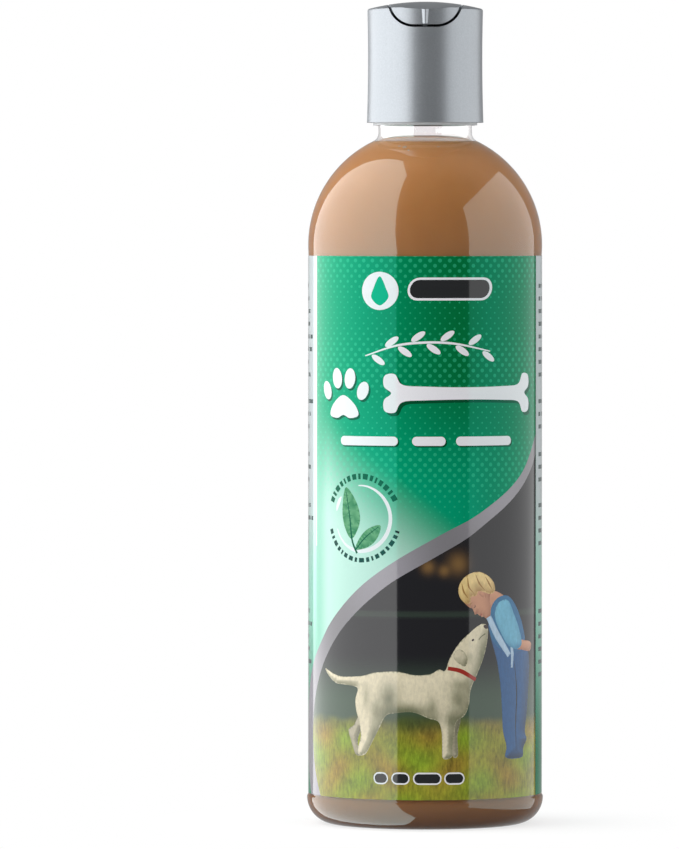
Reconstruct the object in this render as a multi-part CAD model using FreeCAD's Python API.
import FreeCAD, Part
import math
import os

# A clear round bottle of pet shampoo with a wrap-round film label and a silver disc-top closure.
# Millimetres, +Z up. The front of the object faces -Y and the origin is the centre of its base.

V = FreeCAD.Vector
AXIS_X = V(1, 0, 0)
AXIS_Z = V(0, 0, 1)
CENTRE = V(0, 0, 0)

# ---- driving dimensions: bottle ----
heel_radius = 31.3
body_radius = 31.0
panel_radius = 30.92        # label panel, sunk by the label's thickness
wall = 0.75
panel_bottom = 7.9
panel_top = 151.4
corner_radius = 7.1         # round edge between the side and the standing ring
ring_inner_radius = 22.2    # flat standing ring
push_up = 4.5               # height of the concave base at its centre
base_thickness = 1.05
shoulder_start = 153.3      # level where the round shoulder begins
shoulder_radius = 30.55
neck_radius = 12.35
neck_fillet = 2.4
collar_top = 186.5

# ---- driving dimensions: 24 mm threaded finish ----
finish_root_radius = 10.9
finish_crest_radius = 11.95
bore_radius = 9.4
rim_level = 202.0
rim_edge = 0.4
bore_taper_bottom = 183.6
bore_taper_top = 186.0
thread_pitch = 3.175        # eight turns to the inch
thread_turns = 1.5
thread_start = 194.2
thread_root_half = 1.05     # half the thread's height at its root and at its crest
thread_crest_half = 0.45
thread_bury = 0.2           # how far a thread is sunk into the wall that carries it

# ---- driving dimensions: contents and label ----
fill_level = 180.4
label_bottom = 8.15
label_top = 150.5
label_thickness = 0.08
label_gap = 5.0             # butt gap between the label's two ends, at the back

# ---- driving dimensions: closure ----
skirt_bottom = 185.7        # lower edge of the outer shell
shell_bottom_radius = 15.43
shell_waist_radius = 15.13
shell_top_radius = 15.29
shell_waist_level = 204.9
shell_bore_radius = 14.0
crown_level = 217.7
crown_dome_radius = 60.0
crown_edge = 0.7            # round edge of the crown
ceiling = 215.4             # underside of the shell's crown
inner_bottom = 185.0        # the threaded skirt hangs a little below the shell
inner_radius = 13.8
inner_bore_radius = 12.15
inner_mouth_radius = 12.75  # widened mouth that passes over the collar
inner_mouth_top = 187.6
inner_thread_crest_radius = 11.15
inner_thread_root_half = 0.62
inner_thread_crest_half = 0.3
upper_wall_bore_radius = 12.6
deck_bottom = 203.15
deck_top = 204.9
snap_bead_level = 189.5
snap_bead_radius = 0.35
snap_groove_radius = 0.42

# ---- driving dimensions: gasket ----
gasket_radius = 11.5
gasket_hole_radius = 8.2
gasket_thickness = 1.0
gasket_gap = 0.05           # running gap to the rim below and to the deck above

# ---- driving dimensions: disc actuator ----
pivot_level = 213.8
tilt_open = 25.0            # degrees from shut to fully open
scallop_radius = 7.0        # obround cut in the front of the closure, level with the crown
scallop_half_length = 2.92
scallop_gap = 0.7           # between the cut's edge and the disc's front wall
pocket_half_width = scallop_half_length + scallop_radius
pocket_rear_shift = 1.0
disc_side_gap = 0.32
disc_half_width = pocket_half_width - disc_side_gap
disc_rear_radius = 9.8      # round the pivot, so that the rear edge swings clear
disc_inner_reach = 12.2     # the disc's plate stays inside the closure's upper wall
disc_front_radius = 14.75
disc_front_inside = 13.4
disc_skirt_bottom = 211.5
disc_wall = 1.0
disc_plate_underside = 215.2
disc_front_fall_radius = 49.5   # the top falls towards the front as a long curve
drum_radius = 5.6           # valve drum round the pivot
drum_half_width = 4.2
valve_gap = 0.05
seat_front = 2.6            # the valve seat under the drum, measured from the pivot along Y
seat_rear = 3.9
seat_half_width = 4.0
passage_radius = 1.05
outlet_angle = 27.0         # degrees below the horizontal, when shut
spout_radius = 2.3
spout_reach = 12.2
web_half_thickness = 0.6
pin_radius = 1.2
pin_reach = 11.6
lug_inside = 10.25
lug_half_depth = 3.0
lug_top = 215.2
nib_top_half = 1.1          # tapered drip nib down the disc's front wall
nib_bottom_half = 0.65
nib_ridge_half = 0.12       # half the flat along the nib's ridge
nib_proud = 0.45
nib_bottom = 211.6
rear_dip_radius = 9.0       # finger dip in the crown behind the disc
rear_dip_depth = 1.5

# for the solids that only cut: longer than any piece, and a little past the face that they open
FAR = 60.0
PAST = 1.0


# ---- helpers ----
class Outline:
    """A closed outline in the XZ plane, for a shape turned about the Z axis."""

    def __init__(self, r, z):
        self.start = self.here = V(r, 0, z)
        self.edges = []

    def line(self, r, z):
        there = V(r, 0, z)
        if there.distanceToPoint(self.here) > 1e-6:
            self.edges.append(Part.LineSegment(self.here, there).toShape())
        self.here = there

    def arc(self, r, z, radius, start, end):
        """An arc about (r, z) from one angle to another, in degrees from +X towards +Z."""
        first, middle, last = [
            V(r + radius * math.cos(a), 0, z + radius * math.sin(a))
            for a in (math.radians(start), math.radians((start + end) / 2), math.radians(end))
        ]
        self.line(first.x, first.z)
        self.edges.append(Part.Arc(self.here, middle, last).toShape())
        self.here = last

    def arc_through(self, middle, end):
        """An arc from here through one point to another, each given as (r, z)."""
        last = V(end[0], 0, end[1])
        self.edges.append(Part.Arc(self.here, V(middle[0], 0, middle[1]), last).toShape())
        self.here = last

    def turned(self, degrees=360):
        self.line(self.start.x, self.start.z)
        return Part.Face(Part.Wire(self.edges)).revolve(CENTRE, AXIS_Z, degrees)


def round_solid(radius, bottom, top):
    """An upright round solid on the Z axis."""
    return Part.makeCylinder(radius, top - bottom, V(0, 0, bottom), AXIS_Z)


def block(x, y, z):
    """A box from three (low, high) pairs."""
    return Part.makeBox(x[1] - x[0], y[1] - y[0], z[1] - z[0], V(x[0], y[0], z[0]))


def pivot_round(radius, half_length):
    """A round solid about the disc's pivot line."""
    return Part.makeCylinder(radius, 2 * half_length, V(-half_length, 0, pivot_level), AXIS_X)


def passage(radius, angle, reach):
    """A round solid from the pivot line out, at an angle below the front horizontal."""
    tilt = math.radians(angle)
    return Part.makeCylinder(radius, reach, V(0, 0, pivot_level), V(0, -math.cos(tilt), -math.sin(tilt)))


def obround(radius):
    """The scallop's outline, level with the crown, as a solid that runs forward from the Z axis."""
    half = scallop_half_length
    solid = block((-half, half), (-FAR, 0), (crown_level - radius, crown_level + radius))
    for x in (-half, half):
        solid = solid.fuse(Part.makeCylinder(radius, FAR, V(x, -FAR, crown_level), V(0, 1, 0)))
    return solid.removeSplitter()


def thread(root_radius, crest_radius, root_half, crest_half, start, turns):
    """A helical ridge. Its root is sunk into the wall that carries it."""
    corners = [
        V(root_radius, 0, -root_half),
        V(crest_radius, 0, -crest_half),
        V(crest_radius, 0, crest_half),
        V(root_radius, 0, root_half),
    ]
    outline = Part.makePolygon(corners + corners[:1])
    path = Part.Wire(Part.makeHelix(thread_pitch, thread_pitch * turns, root_radius).Edges)
    ridge = path.makePipeShell([outline], True, True)
    ridge.translate(V(0, 0, start))
    return ridge


# ---- bottle ----
fillet_r = neck_radius + neck_fillet
shoulder_r = body_radius - shoulder_radius
fillet_z = shoulder_start + math.sqrt((shoulder_radius + neck_fillet) ** 2 - (fillet_r - shoulder_r) ** 2)
shoulder_end = math.degrees(math.atan2(fillet_z - shoulder_start, fillet_r - shoulder_r))
ring_outer_radius = heel_radius - corner_radius


def dome(outline, radius, height, level):
    """The concave base's curve, from the axis down to a radius."""
    sphere = (radius ** 2 + height ** 2) / (2 * height)
    half = math.degrees(math.asin(radius / sphere))
    outline.arc(0, level + height - sphere, sphere, 90, 90 - half)


def bottle_outside():
    o = Outline(0, push_up)
    dome(o, ring_inner_radius, push_up, 0)
    o.arc(ring_outer_radius, corner_radius, corner_radius, -90, 0)
    o.line(panel_radius, panel_bottom)
    o.line(panel_radius, panel_top)
    o.line(body_radius, panel_top + (body_radius - panel_radius))
    o.arc(shoulder_r, shoulder_start, shoulder_radius, 0, shoulder_end)
    o.arc(fillet_r, fillet_z, neck_fillet, shoulder_end - 180, -180)
    o.line(neck_radius, collar_top)
    o.line(finish_root_radius, collar_top)
    o.arc(finish_root_radius - rim_edge, rim_level - rim_edge, rim_edge, 0, 90)
    o.line(0, rim_level)
    return o.turned()


def bottle_inside():
    """The space inside the bottle, out through its mouth."""
    o = Outline(0, push_up + base_thickness)
    dome(o, ring_inner_radius, push_up, base_thickness)
    o.arc(ring_outer_radius, corner_radius, corner_radius - base_thickness, -90, 0)
    o.arc(shoulder_r, shoulder_start, shoulder_radius - wall, 0, shoulder_end)
    o.arc(fillet_r, fillet_z, neck_fillet + wall, shoulder_end - 180, -180)
    o.line(neck_radius - wall, bore_taper_bottom)
    o.line(bore_radius, bore_taper_top)
    o.line(bore_radius, rim_level + PAST)
    o.line(0, rim_level + PAST)
    return o.turned()


def make_bottle():
    ridge = thread(
        finish_root_radius - thread_bury, finish_crest_radius,
        thread_root_half, thread_crest_half, thread_start, thread_turns,
    )
    return bottle_outside().fuse(ridge).cut(bottle_inside())


def make_shampoo():
    return bottle_inside().common(round_solid(FAR, 0, fill_level))


def make_label():
    o = Outline(panel_radius, label_bottom)
    o.line(panel_radius + label_thickness, label_bottom)
    o.line(panel_radius + label_thickness, label_top)
    o.line(panel_radius, label_top)
    gap = math.degrees(label_gap / panel_radius)
    label = o.turned(360 - gap)
    label.rotate(CENTRE, AXIS_Z, 90 + gap / 2)
    return label


# ---- closure ----
def make_gasket():
    bottom = rim_level + gasket_gap
    top = bottom + gasket_thickness
    return round_solid(gasket_radius, bottom, top).cut(round_solid(gasket_hole_radius, bottom, top))


def snap_ring(radius):
    return Part.makeTorus(inner_radius, radius, V(0, 0, snap_bead_level), AXIS_Z)


def pocket():
    """The well for the disc: straight sides and a round back, open to the front."""
    width = pocket_half_width
    back = Part.makeCylinder(width, FAR, V(0, pocket_rear_shift, deck_top), AXIS_Z)
    return back.fuse(block((-width, width), (-FAR, pocket_rear_shift), (deck_top, deck_top + FAR)))


def make_cap_body():
    """The threaded inner closure, with the deck, the valve seat and the pivot lugs."""
    o = Outline(0, deck_bottom)
    o.line(inner_bore_radius, deck_bottom)
    o.line(inner_bore_radius, inner_mouth_top + (inner_mouth_radius - inner_bore_radius))
    o.line(inner_mouth_radius, inner_mouth_top)
    o.line(inner_mouth_radius, inner_bottom)
    o.line(inner_radius, inner_bottom)
    o.line(inner_radius, ceiling)
    o.line(upper_wall_bore_radius, ceiling)
    o.line(upper_wall_bore_radius, deck_top)
    o.line(0, deck_top)
    body = o.turned().fuse(snap_ring(snap_bead_radius).cut(round_solid(inner_bore_radius, 0, rim_level)))

    ridge = thread(
        inner_bore_radius + thread_bury, inner_thread_crest_radius,
        inner_thread_root_half, inner_thread_crest_half,
        thread_start - thread_pitch / 2, thread_turns,
    )
    body = body.fuse(ridge)

    for side in (-1, 1):
        reach = sorted((side * lug_inside, side * inner_radius))
        lug = block(reach, (-lug_half_depth, lug_half_depth), (deck_top, lug_top))
        body = body.fuse(lug.common(round_solid(inner_radius - disc_wall, deck_top, lug_top)))
    body = body.cut(pivot_round(pin_radius + valve_gap, pin_reach + disc_side_gap))

    seat = block(
        (-seat_half_width, seat_half_width), (-seat_front, seat_rear), (deck_top, pivot_level - valve_gap)
    )
    body = body.fuse(seat.cut(pivot_round(drum_radius + valve_gap, FAR)))
    return body.cut(round_solid(passage_radius, 0, pivot_level)).cut(obround(scallop_radius))


def crown():
    """The closure's domed outer form, without its hollow."""
    dome_z = crown_level - crown_dome_radius
    edge_r = shell_top_radius - crown_edge
    inner_dome = crown_dome_radius - crown_edge
    edge_z = dome_z + math.sqrt(inner_dome ** 2 - edge_r ** 2)
    edge_angle = math.degrees(math.atan2(edge_z - dome_z, edge_r))
    o = Outline(0, skirt_bottom)
    o.line(shell_bottom_radius, skirt_bottom)
    o.arc_through((shell_waist_radius, shell_waist_level), (shell_top_radius, edge_z))
    o.arc(edge_r, edge_z, crown_edge, 0, edge_angle)
    o.arc(0, dome_z, crown_dome_radius, edge_angle, 90)
    return o.turned()


def make_cap_shell():
    shell = crown().cut(round_solid(shell_bore_radius, 0, ceiling))
    shell = shell.cut(snap_ring(snap_groove_radius))
    within = pocket().common(round_solid(shell_bore_radius, deck_top, crown_level + FAR))
    shell = shell.cut(within).cut(obround(scallop_radius))
    dip_z = crown_level + rear_dip_radius - rear_dip_depth
    dip = Part.makeCylinder(rear_dip_radius, FAR, V(0, 0, dip_z), V(0, 1, 0))
    return shell.cut(dip)


def disc_top_form():
    """Everything under the disc's top face, which follows the crown and falls to the front."""
    fall = Part.makeCylinder(
        disc_front_fall_radius, 2 * FAR, V(-FAR, 0, crown_level - disc_front_fall_radius), AXIS_X
    )
    rear = block((-FAR, FAR), (0, FAR), (0, crown_level))
    top = Part.makeSphere(crown_dome_radius, V(0, 0, crown_level - crown_dome_radius))
    return fall.fuse(rear).common(top)


def disc_plan(half_width, rear, bottom):
    """The disc's plate as seen from above: straight sides and a round back."""
    height = crown_level - bottom
    back = Part.makeCylinder(half_width, height, V(0, rear - half_width, bottom), AXIS_Z)
    return back.fuse(block((-half_width, half_width), (-FAR, rear - half_width), (bottom, crown_level)))


def make_disc_actuator():
    plate = disc_plan(disc_half_width, disc_rear_radius, disc_skirt_bottom)
    plate = plate.common(round_solid(disc_inner_reach, disc_skirt_bottom, crown_level))
    front = obround(scallop_radius - scallop_gap).common(round_solid(disc_front_radius, 0, crown_level))
    outside = plate.fuse(front).common(disc_top_form())
    swing = pivot_round(disc_rear_radius, FAR).fuse(block((-FAR, FAR), (-FAR, 0), (0, crown_level)))
    outside = outside.common(swing)

    hollow = disc_plan(disc_half_width - disc_wall, disc_rear_radius - disc_wall, deck_top)
    hollow = hollow.common(round_solid(disc_front_inside, deck_top, disc_plate_underside))
    body = outside.cut(hollow)

    below_plate = block((-FAR, FAR), (-FAR, FAR), (deck_top, disc_plate_underside + disc_wall))
    inside = pivot_round(drum_radius, drum_half_width)
    web = block(
        (-web_half_thickness, web_half_thickness), (-FAR, -drum_radius / 2), (deck_top, crown_level)
    )
    tilt = math.radians(outlet_angle)
    web_floor = block((-FAR, FAR), (-FAR, 0), (0, FAR))
    web_floor.rotate(CENTRE, AXIS_X, outlet_angle)
    web_floor.translate(V(0, 0, pivot_level))
    spout = passage(spout_radius, outlet_angle, FAR).fuse(web.common(web_floor))
    inside = inside.fuse(spout.common(pivot_round(spout_reach, FAR))).common(below_plate)
    body = body.fuse(inside).fuse(pivot_round(pin_radius, pin_reach).common(pin_stubs()))

    body = body.fuse(drip_nib())
    body = body.cut(passage(passage_radius, outlet_angle, disc_front_radius + PAST))
    return body.cut(passage(passage_radius, 90 + tilt_open, drum_radius + PAST)).removeSplitter()


def pin_stubs():
    """The two ranges of X that the pivot pins fill, from inside the disc's side walls outwards."""
    near = disc_half_width - disc_wall / 2
    sides = [sorted((side * near, side * pin_reach)) for side in (-1, 1)]
    depth = (-pin_radius, pin_radius)
    level = (pivot_level - pin_radius, pivot_level + pin_radius)
    return block(sides[0], depth, level).fuse(block(sides[1], depth, level))


def drip_nib():
    """A tapered ridge down the middle of the disc's front wall."""
    face = -disc_front_radius
    rings = []
    for half, z in ((nib_bottom_half, nib_bottom), (nib_top_half, crown_level)):
        root, ridge = face + disc_wall / 2, face - nib_proud
        corners = [
            V(-half, root, z), V(-half, face, z), V(-nib_ridge_half, ridge, z),
            V(nib_ridge_half, ridge, z), V(half, face, z), V(half, root, z),
        ]
        rings.append(Part.makePolygon(corners + corners[:1]))
    return Part.makeLoft(rings, True, True).common(disc_top_form())


# ---- write every piece ----
pieces = {
    "bottle": make_bottle,
    "shampoo": make_shampoo,
    "label": make_label,
    "cap_gasket": make_gasket,
    "cap_body": make_cap_body,
    "cap_shell": make_cap_shell,
    "disc_actuator": make_disc_actuator,
}

os.makedirs("parts", exist_ok=True)
for name, make in pieces.items():
    shape = make()
    shape.exportStep("parts/" + name + ".step")
    print(name, "valid", shape.isValid(), "solids", len(shape.Solids), "mL", round(shape.Volume / 1000, 3))
